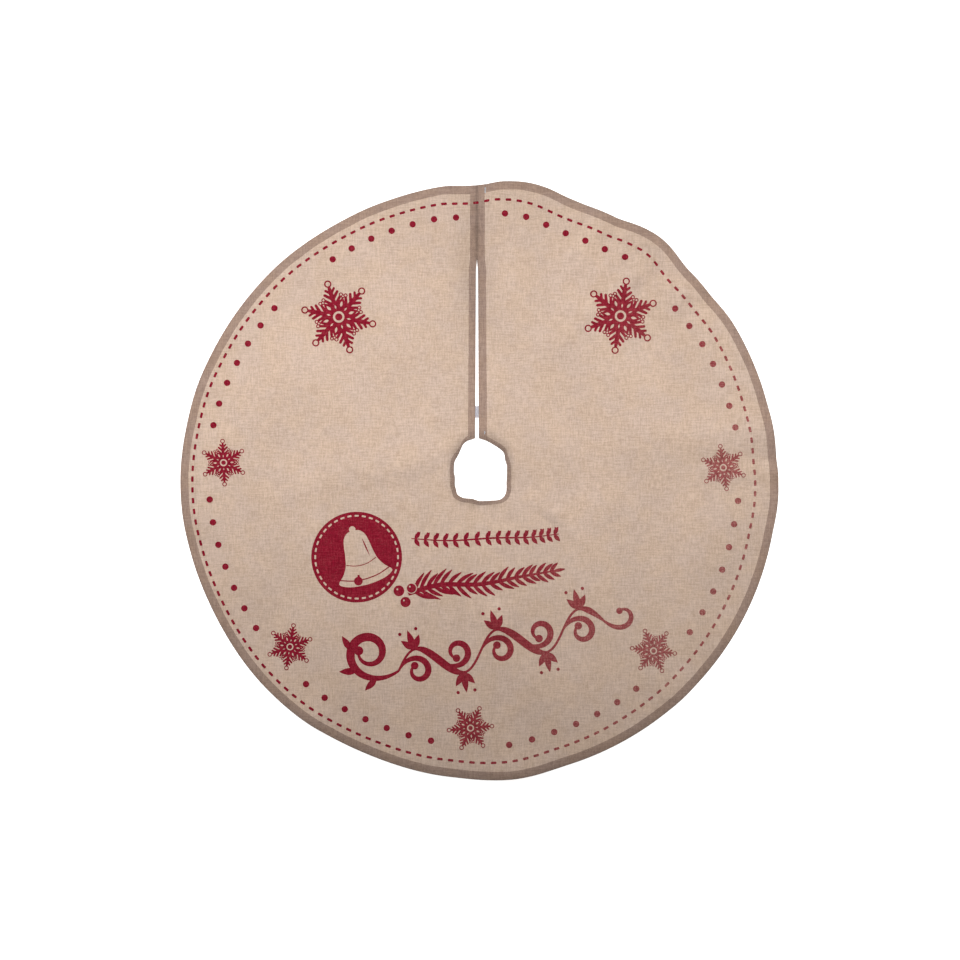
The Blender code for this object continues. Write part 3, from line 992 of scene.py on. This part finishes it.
def flake(arm):
    """A full six-armed snow crystal with a ringed tip on each arm."""
    layers = Drawing()

    def add(outline, angle, adds=True):
        layers.append((adds, turned(np.asarray(outline) * arm, angle)))

    for k in range(6):
        angle = k * pi / 3.0
        between = angle + pi / 6.0
        add(leaf(0.14, 0.0, 0.0, 0.44, 0.25), between)
        add(leaf(0.30, 0.0, 0.0, 0.17, 0.075), between, False)
        add(disc(0.61, 0.0, 0.058, 14), between)
        add(disc(0.61, 0.0, 0.027, 10), between, False)
        add(((0.16, -0.060), (0.70, -0.066), (0.91, -0.042), (0.91, 0.042), (0.70, 0.066),
             (0.16, 0.060)), angle)
        for start, length, width in ((0.34, 0.31, 0.100), (0.53, 0.28, 0.100), (0.71, 0.19, 0.090)):
            for side in (1.0, -1.0):
                branch = turned(((0.0, -0.5 * width), (length, -0.38 * width),
                                 (length + 0.3 * width, 0.0), (length, 0.38 * width),
                                 (0.0, 0.5 * width)), side * radians(46.0), (start, 0.0))
                add(branch, angle)
        for side in (1.0, -1.0):
            tip = polar(0.37, side * radians(46.0)) + (0.34, 0.0)
            add(disc(*tip, 0.060, 14), angle)
            add(disc(*tip, 0.030, 10), angle, False)
        add(((0.235, 0.0), (0.30, 0.026), (0.365, 0.0), (0.30, -0.026)), angle, False)
        add(disc(1.0, 0.0, 0.107, 20), angle)
        add(disc(1.0, 0.0, 0.066, 16), angle, False)
    layers += [(True, disc(0, 0, 0.235 * arm, 30)), (False, disc(0, 0, 0.165 * arm)),
               (True, disc(0, 0, 0.105 * arm, 16))]
    return layers


def badge():
    """The round badge with a plain bell left out of its ink."""
    layers = Drawing()
    layers.ink(disc(0.0, 0.0, BADGE_RADIUS, 90))
    for k in range(BADGE_DASHES):
        angle = 2.0 * pi * k / BADGE_DASHES
        outline = turned(bar(0.0063, 0.0027), angle + 0.5 * pi,
                         polar(BADGE_DASH_RING, angle))
        layers.bare(outline)
    right = smooth_path((
        (0.000, 0.041), (0.010, 0.0385), (0.0165, 0.031), (0.0195, 0.020), (0.0215, 0.006),
        (0.0250, -0.009), (0.0320, -0.021), (0.0405, -0.0295), (0.0405, -0.0345),
        (0.0300, -0.0400), (0.0150, -0.0430), (0.000, -0.0440),
    ), 5)
    bell = np.concatenate([right, right[-2:0:-1] * (-1.0, 1.0)])
    parts = [
        (False, disc(0.0, 0.0425, 0.0050, 18)),
        (False, bell),
        (True, stroke(smooth_path(((-0.0235, -0.0075), (-0.011, -0.0120), (0.0, -0.0133),
                                   (0.011, -0.0120), (0.0235, -0.0075))), np.full(41, 0.0012))),
        (True, stroke(smooth_path(((-0.0385, -0.0270), (-0.020, -0.0330), (0.0, -0.0350),
                                   (0.020, -0.0330), (0.0385, -0.0270))), np.full(41, 0.0016))),
        (True, disc(-0.0125, -0.0352, 0.0066, 22)),
        (True, stroke(np.array(((-0.0112, -0.0345), (-0.0104, -0.0300), (-0.0098, -0.0262))),
                      (0.0050, 0.0036, 0.0030))),
        (True, leaf(0.0105, 0.026, radians(-82.0), 0.030, 0.0020)),
    ]
    layers += [(adds, turned(outline, BELL_LEAN, (0.005, 0.001))) for adds, outline in parts]
    return [(adds, outline + BADGE_CENTRE) for adds, outline in layers]


def garland():
    """The thin leafy line above: leaf pairs and dots along a stem."""
    stem = smooth_path(((-0.103, -0.088), (-0.045, -0.091), (0.020, -0.087), (0.075, -0.086),
                        (0.120, -0.081)), 12)
    heading = headings(stem)
    layers = Drawing()
    layers.ink(stroke(stem, taper(len(stem), 0.0014, 0.0026, 0.0014)))
    for i in range(1, len(stem) - 1, 3):
        for side in (1.0, -1.0):
            angle = heading[i] + side * radians(54.0)
            layers.ink(leaf(*stem[i], angle, 0.0140, 0.0066))
        above = stem[i + 1] + polar(0.0095, heading[i] + pi / 2.0)
        layers.ink(disc(*above, 0.0017, 12))
    return layers


BERRIES = ((-0.122, -0.167, 0.0082), (-0.112, -0.184, 0.0078), (-0.103, -0.163, 0.0070))


def fir_sprig():
    """The bold sprig in the middle: needles on both sides of a stem, and three berries."""
    stem = smooth_path(((-0.108, -0.171), (-0.060, -0.158), (0.000, -0.157), (0.060, -0.146),
                        (0.112, -0.137)), 12)
    heading = headings(stem)
    layers = Drawing()
    layers.ink(stroke(stem, taper(len(stem), 0.0072, 0.0064, 0.0022)))
    count = 19
    for k in range(count):
        share = (k + 0.9) / (count + 0.3)
        at = share * (len(stem) - 1)
        i = int(at)
        root = stem[i] + (stem[i + 1] - stem[i]) * (at - i)
        length = 0.037 * (1.0 - 0.45 * share) * (0.90 + 0.10 * sin(2.4 * k))
        for side in (1.0, -1.0):
            angle = heading[i] + side * radians(46.0 + 5.0 * sin(1.7 * k + side))
            needle = smooth_path((root, root + polar(0.5 * length, angle),
                                  root + polar(length, angle - side * 0.10)), 4)
            layers.ink(stroke(needle, taper(len(needle), 0.0034, 0.0060, 0.0012)))
    tip = stem[-1] + polar(0.018, heading[-1])
    needle = smooth_path((stem[-1], 0.5 * (stem[-1] + tip), tip), 4)
    layers.ink(stroke(needle, taper(len(needle), 0.0024, 0.0052, 0.0010)))
    for x, y, radius in BERRIES:
        layers.bare(disc(x, y, radius + 0.0013))
        layers.ink(disc(x, y, radius))
        layers.bare(disc(x - 0.0024, y + 0.0024, 0.0014, 10))
    return layers


VINE_START, VINE_END = np.array((-0.122, -0.288)), np.array((0.188, -0.212))
VINE_WAVES, VINE_HEIGHT = 5, 0.0260


def vine():
    """The large vine below: a waving stem with curls in its hollows, leaves and berries."""
    share = np.linspace(0.0, 1.0, 170)
    axis = VINE_END - VINE_START
    length = float(np.hypot(*axis))
    axis = axis / length
    up = np.array((-axis[1], axis[0]))
    stem = (VINE_START + share[:, None] * length * axis
            + (VINE_HEIGHT * np.sin(pi * VINE_WAVES * share))[:, None] * up)
    heading = headings(stem)
    to_end = np.clip(np.minimum(share, 1.0 - share) / 0.06, 0.0, 1.0)
    widths = 0.0036 + 0.0088 * to_end * np.clip(0.35 - np.sin(heading), 0.0, 1.0) ** 1.2
    layers = Drawing()
    layers.ink(stroke(stem, widths))

    def scroll(x, y, angle, run, first, last, thick, ball, leaves=()):
        """A curl with a ball at its end and leaves on its outer side."""
        path = curl(x, y, angle, run, first, last)
        layers.ink(stroke(path, taper(len(path), 0.0034, thick, 0.0030)))
        layers.ink(disc(*path[-1], ball, 18))
        way = headings(path)
        for at, size in leaves:
            i = int(at * (len(path) - 1))
            layers.ink(leaf(*path[i], way[i] - copysign(0.80, first), size, 0.38 * size))

    for k in range(VINE_WAVES):
        at = int((k + 0.05) / VINE_WAVES * (len(stem) - 1))
        way = -1.0 if k % 2 == 0 else 1.0
        scroll(*stem[at], heading[at] + way * 0.10, 0.112, way * 26.0, way * 100.0, 0.0096, 0.0058)
        crest = int((k + 0.5) / VINE_WAVES * (len(stem) - 1))
        outward = heading[crest] - way * pi / 2.0
        for turn, size in ((0.66, 0.024), (-0.66, 0.024), (0.0, 0.031)):
            layers.ink(leaf(*stem[crest], outward + turn, size, 0.0100))
        for turn in (0.42, -0.42):
            layers.ink(disc(*(stem[crest] + polar(0.0315, outward + turn)), 0.0026, 12))
    scroll(*stem[0], heading[0] + pi - 0.55, 0.236, -13.5, -62.0, 0.0132, 0.0070,
           ((0.16, 0.026), (0.30, 0.028), (0.44, 0.026)))
    scroll(*stem[-1], heading[-1], 0.080, 12.0, 110.0, 0.0080, 0.0050)
    return layers


# ======== ink laid on the cloth

def surface_tree(objects):
    points, faces = [], []
    for piece in objects:
        start = len(points)
        points.extend(v.co.copy() for v in piece.data.vertices)
        faces.extend([start + i for i in p.vertices] for p in piece.data.polygons)
    return BVHTree.FromPolygons(points, faces)


def level_of(places, missing):
    """Height of the cloth's top under each place, or missing where there is none."""
    result = []
    for x, y in np.asarray(places).tolist():
        hit = TOPS.ray_cast(Vector((x, y, RAY_START)), Vector((0.0, 0.0, -1.0)))[0]
        result.append(missing if hit is None else hit.z)
    return np.array(result)


def ink_film(name, shapes):
    """One thin closed film of ink for all the shapes, lying on the cloth and its hems."""
    points, faces = [], []
    for places, triangles in shapes:
        level = level_of(places, 0.0024)[:, None] + INK_LIFT
        top = np.concatenate([places, level], axis=1)
        start, total = len(points), len(places)
        points.extend(top.tolist())
        points.extend((top - (0.0, 0.0, 2.0 * INK_LIFT)).tolist())
        faces.extend((triangles + start).tolist())
        faces.extend((triangles[:, ::-1] + start + total).tolist())
        edges = {}
        for a, b, c in triangles.tolist():
            for pair in ((a, b), (b, c), (c, a)):
                edges[pair] = edges.get(pair, 0) + 1
        for a, b in edges:
            if (b, a) not in edges:
                faces.append((start + b, start + a, start + total + a, start + total + b))
    return make_piece(name, points, faces, INK)


def place_print():
    """All printed shapes, split between the two pieces of cloth."""
    shapes = [fill(layers) for layers in border()]
    filled = {arm: fill(flake(arm)) for arm in (SMALL_ARM, LARGE_ARM)}
    for direction, distance, arm, turn in FLAKES:
        points, triangles = filled[arm]
        place = PRINT_CENTRE + polar(distance, radians(direction))
        shapes.append((turned(points, radians(turn), place), triangles))
    shapes += [fill(layers) for layers in (badge(), garland(), fir_sprig(), vine())]
    on_flap = [bool((p[:, 1].max() > FOLD_LINE_Y) and p[:, 0].mean() > SLIT_X) for p, _ in shapes]
    main = ink_film("print", [s for s, flap in zip(shapes, on_flap) if not flap])
    flap = ink_film("print_flap", [s for s, flap in zip(shapes, on_flap) if flap])
    return main, flap


TOPS = surface_tree([left_panel, right_panel, *hems.values()])
main_print, flap_print = place_print()


# ======== stitches

STITCH_LENGTH, STITCH_PITCH, THREAD_RADIUS = 0.0026, 0.0034, 0.00030
TACK_RADIUS, TACK_PITCH, TACK_LEAN = 0.00034, 0.00062, 0.22


def resample(path, pitch):
    """Points an even pitch apart along a path, with the heading at each."""
    run = running(np.hypot(*np.diff(path, axis=0).T))
    count = max(2, int(run[-1] / pitch))
    at = (np.arange(count) + 0.5) * run[-1] / count

    def points_at(where):
        return np.stack([np.interp(where, run, path[:, i]) for i in range(2)], axis=-1)

    places = points_at(at)
    along = points_at(at + 0.0005) - points_at(at - 0.0005)
    return places, np.arctan2(along[:, 1], along[:, 0])


def stitch(points, faces, place, heading, length, radius=THREAD_RADIUS):
    """One stitch: a round thread that dives into the cloth at both ends."""
    along = np.array((cos(heading), sin(heading)))
    aside = np.array((-along[1], along[0]))
    sides = 6
    shares = (-0.5, -0.42, -0.2, 0.2, 0.42, 0.5)
    ends = level_of([place - 0.3 * length * along, place + 0.3 * length * along], 0.0028)
    start = len(points)
    for share in shares:
        rise = 0.30 * radius - 1.7 * radius * (2.0 * abs(share)) ** 4
        thick = radius * (1.0 - 0.45 * (2.0 * abs(share)) ** 6)
        level = ends[0] + (ends[1] - ends[0]) * (share + 0.5) + rise
        for k in range(sides):
            angle = 2.0 * pi * k / sides
            spot = place + along * share * length + aside * thick * cos(angle)
            points.append((spot[0], spot[1], level + thick * sin(angle)))
    faces += tube_faces(len(shares), sides, start, flip=True)


def seam_piece(name, paths, length=STITCH_LENGTH, pitch=STITCH_PITCH):
    points, faces = [], []
    for path in paths:
        for place, heading in zip(*resample(np.asarray(path, float), pitch)):
            stitch(points, faces, place, heading, length)
    return make_piece(name, points, faces, THREAD)


seams = {
    name: seam_piece(name.replace("turned_", "seam_"), [line(width - STITCH_INSET)])
    for name, (line, width, *_) in HEM_EDGES.items()
}


def box_path(low_x, high_x, low_y, high_y):
    corners = ((low_x, low_y), (high_x, low_y), (high_x, high_y), (low_x, high_y))
    return [np.array((a, b)) for a, b in zip(corners, corners[1:] + corners[:1])]


# ======== closures

def slab_rings(x_low, x_high, y_low, y_high, z_low, z_high, corner=0.0008, columns=60):
    """Outlines along X of a tape with rounded selvages; its ends narrow a little."""
    rings = []
    for x in np.linspace(x_low, x_high, columns):
        near = min(x - x_low, x_high - x) / 0.0012
        pull = 0.0005 * (1.0 - min(1.0, near)) ** 2
        flat = 0.5 * (z_high - z_low) * (1.0 - 0.25 * (1.0 - min(1.0, near)) ** 2)
        middle = 0.5 * (z_low + z_high)
        wave = 0.00008 * sin(x * 5200.0)
        ring = []
        for y, z in (
            (y_low + pull + corner, -1.0), (y_low + pull, -0.55), (y_low + pull, 0.55),
            (y_low + pull + corner, 1.0), (0.5 * (y_low + y_high), 1.0),
            (y_high - pull - corner, 1.0), (y_high - pull, 0.55), (y_high - pull, -0.55),
            (y_high - pull - corner, -1.0), (0.5 * (y_low + y_high), -1.0),
        ):
            swell = wave if abs(z) < 0.9 else 0.0
            swell = swell if y > 0.5 * (y_low + y_high) else -swell
            ring.append((x, y + swell, middle + z * flat))
        rings.append(ring)
    return np.array(rings)


def hook_field(name, low, high, level, rise, pitch=0.0015):
    """Rows of small nylon hooks standing on the tape."""
    points, faces = [], []
    radius, sides = 0.00013, 5
    for row, y in enumerate(np.arange(low[1] + 0.0009, high[1] - 0.0008, pitch)):
        lean = 1.0 if row % 2 else -1.0
        for x in np.arange(low[0] + 0.0009, high[0] - 0.0008, pitch):
            start = len(points)
            arc = [(0.0, 0.0), (0.0, 0.55), (0.10, 0.86), (0.32, 1.0), (0.55, 0.88), (0.62, 0.62)]
            for along, up in arc:
                for k in range(sides):
                    angle = 2.0 * pi * k / sides
                    points.append((x + lean * along * rise + radius * cos(angle),
                                   y + radius * sin(angle), level + up * rise))
            faces += tube_faces(len(arc), sides, start)
    return make_piece(name, points, faces, HOOK_TAPE)


def loop_field(name, low, high, level, depth, step=0.00042):
    """The brushed loops of the pad, a fuzzy layer that faces down."""
    xs = np.arange(low[0], high[0] + 0.5 * step, step)
    ys = np.arange(low[1], high[1] + 0.5 * step, step)
    rows, columns = len(xs), len(ys)
    lower, upper = [], []
    for i, x in enumerate(xs):
        for j, y in enumerate(ys):
            rough = 0.5 + noise.noise(Vector((x * 1900.0, y * 1900.0, 4.0)))
            drop = depth * (0.35 + 0.65 * max(0.0, min(1.0, rough)))
            if min(i, j, rows - 1 - i, columns - 1 - j) == 0:
                drop = 0.0001
            lower.append((x, y, level - drop))
            upper.append((x, y, level + 0.0002))
    return make_piece(name, lower + upper, sheet_faces(rows, columns, True), LOOP_TAPE)


def tape_piece(name, low, high, paint):
    """A flat woven tape between two corners."""
    rings = slab_rings(low[0], high[0], low[1], high[1], low[2], high[2])
    return swept_band(name, rings, paint, flip=True)


LOOP_DEPTH = 0.00045
HOOK_RISE = 0.00048


def closure(kind):
    """Hook tab and loop pad of one closure, with their seams."""
    tab_low, tab_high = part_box(kind + "_hook_tab")
    pad_low, pad_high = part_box(kind + "_loop_pad")
    tape_top = HOOK_TAPE_THICKNESS - HOOK_RISE
    tape = tape_piece(kind + "_hook_tape", tab_low, (tab_high[0], tab_high[1], tape_top),
                      HOOK_TAPE)
    fold_low = (tab_low[0] + 0.0001, tab_low[1] + 0.0003, tape_top + 0.00005)
    fold_high = (tab_low[0] + 0.0110, tab_high[1] - 0.0003, tab_high[2])
    fold = tape_piece(kind + "_hook_tape_fold", fold_low, fold_high, HOOK_TAPE)
    hooks = hook_field(kind + "_hooks", (fold_high[0] + 0.0006, tab_low[1] + 0.0012),
                       (tab_high[0] - 0.0006, tab_high[1] - 0.0012), tape_top - 0.00002, HOOK_RISE)
    pad = tape_piece(kind + "_loop_tape", (pad_low[0], pad_low[1], pad_low[2] + LOOP_DEPTH),
                     pad_high, LOOP_TAPE)
    loops = loop_field(kind + "_loops", (pad_low[0] + 0.0006, pad_low[1] + 0.0006),
                       (pad_high[0] - 0.0006, pad_high[1] - 0.0006), pad_low[2] + LOOP_DEPTH,
                       LOOP_DEPTH)
    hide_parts(kind + "_hook_tab")
    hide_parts(kind + "_loop_pad")
    for piece in (tape, fold, hooks):
        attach(piece, kind + "_tab")
    inset = 0.0016
    left_box = box_path(max(tab_low[0] + inset, -0.0172), fold_high[0] - inset * 0.4,
                        tab_low[1] + inset, tab_high[1] - inset)
    right_box = box_path(pad_low[0] + inset + 0.0022, pad_high[0] - inset, pad_low[1] + inset,
                         pad_high[1] - inset)
    left_seam = seam_piece("seam_" + kind + "_tab", left_box, length=0.0020, pitch=0.0026)
    right_seam = seam_piece("seam_" + kind + "_pad", right_box, length=0.0020, pitch=0.0026)
    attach(left_seam, "skirt")
    return left_seam, [pad, loops, right_seam]


def bar_tack(name, x, y, length, width):
    """A close zigzag of white thread that holds a corner."""
    points, faces = [], []
    count = int(length / TACK_PITCH)
    for i in range(count):
        spot = np.array((x, y + length * ((i + 0.5) / count - 0.5)))
        lean = TACK_LEAN if i % 2 else -TACK_LEAN
        stitch(points, faces, spot, lean, width, radius=TACK_RADIUS)
    return make_piece(name, points, faces, WHITE_THREAD)


inner_seam, inner_on_flap = closure("inner")
outer_seam, outer_on_flap = closure("outer")
tacks = [bar_tack("bar_tack_rim", 0.0086, SLIT_HIGH - 0.0078, 0.0085, 0.0022),
         bar_tack("bar_tack_opening", 0.0080, SLIT_LOW + 0.0085, 0.0046, 0.0018)]

# ======== which pieces go with the main cloth, and which with the flap

main_pieces = [main_print]
flap_pieces = [flap_print, *inner_on_flap, *outer_on_flap, *tacks]
for name in HEM_EDGES:
    sewn_to = flap_pieces if name.endswith(("_flap", "_right")) else main_pieces
    sewn_to += [hems[name], seams[name]]

for piece in (left_panel, *main_pieces):
    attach(piece, "skirt")
for piece in (right_panel, *flap_pieces):
    ride_flap(piece)

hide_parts("skirt_panel")
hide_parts("flap_panel")
for name, (*_, node) in HEM_EDGES.items():
    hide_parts(node)
